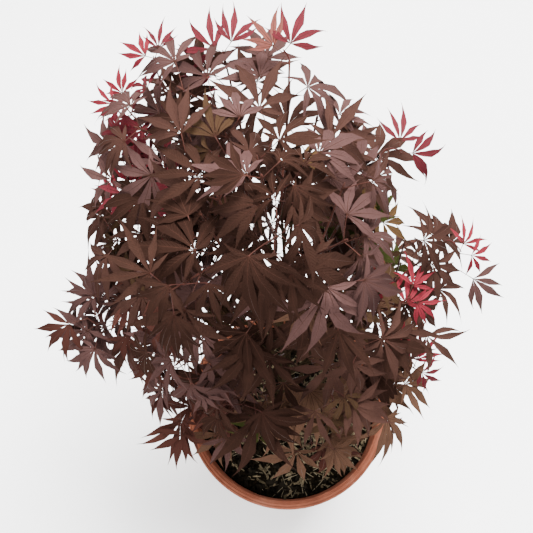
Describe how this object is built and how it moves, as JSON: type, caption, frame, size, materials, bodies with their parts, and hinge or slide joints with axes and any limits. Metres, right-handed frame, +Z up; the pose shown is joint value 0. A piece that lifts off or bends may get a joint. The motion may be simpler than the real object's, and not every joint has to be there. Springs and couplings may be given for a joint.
{
  "type": "potted japanese maple",
  "caption": "Young red-leaved japanese maple with a leaning trunk, arching boughs and lobed leaves, growing in a collared terracotta flowerpot full of compost.",
  "frame": {"origin": "centre of the pot's flat underside", "axes": "+Z up along the pot's axis; -Y is the front, the side that the picture was taken from"},
  "size_m": [0.519, 0.4416, 0.8302],
  "materials": {
    "terracotta": "matte fired clay with fine turning lines",
    "compost": "dark moist compost with pale wood chips, straw and bark",
    "bark": "smooth grey-brown young bark with fine lengthwise cracks",
    "red_leaves": "satin maroon leaves, some mauve, olive, bronze and crimson"
  },
  "bodies": {
    "root": {"pot": "terracotta", "compost": "compost", "trunk": "bark", "bough_front_low": "bark", "bough_front_low_left": "bark", "bough_right_low": "bark", "bough_left_front_low": "bark", "bough_back_low_right": "bark", "bough_back_low_left": "bark", "bough_front_centre_low": "bark", "bough_left_low": "bark", "bough_back_low": "bark", "bough_right_mid": "bark", "bough_left_mid": "bark", "bough_front_centre_right": "bark", "bough_front_centre_left": "bark", "bough_right_back": "bark", "bough_front_left": "bark", "bough_front_right": "bark", "bough_left_high": "bark", "bough_right_back_high": "bark", "bough_left_back_high": "bark", "bough_front_mid": "bark", "bough_back_left_high": "bark", "bough_back_high": "bark", "bough_back_right": "bark", "bough_centre_left": "bark", "bough_centre_right": "bark", "bough_back_mid": "bark", "foliage_front_low": "red_leaves", "foliage_front_low_left": "red_leaves", "foliage_right_low": "red_leaves", "foliage_left_front_low": "red_leaves", "foliage_back_low_right": "red_leaves", "foliage_back_low_left": "red_leaves", "foliage_front_centre_low": "red_leaves", "foliage_left_low": "red_leaves", "foliage_back_low": "red_leaves", "foliage_right_mid": "red_leaves", "foliage_left_mid": "red_leaves", "foliage_front_centre_right": "red_leaves", "foliage_front_centre_left": "red_leaves", "foliage_right_back": "red_leaves", "foliage_front_left": "red_leaves", "foliage_front_right": "red_leaves", "foliage_left_high": "red_leaves", "foliage_right_back_high": "red_leaves", "foliage_left_back_high": "red_leaves", "foliage_front_mid": "red_leaves", "foliage_back_left_high": "red_leaves", "foliage_back_high": "red_leaves", "foliage_back_right": "red_leaves", "foliage_centre_left": "red_leaves", "foliage_centre_right": "red_leaves", "foliage_back_mid": "red_leaves", "foliage_crown_top": "red_leaves"}
  },
  "joints": []
}
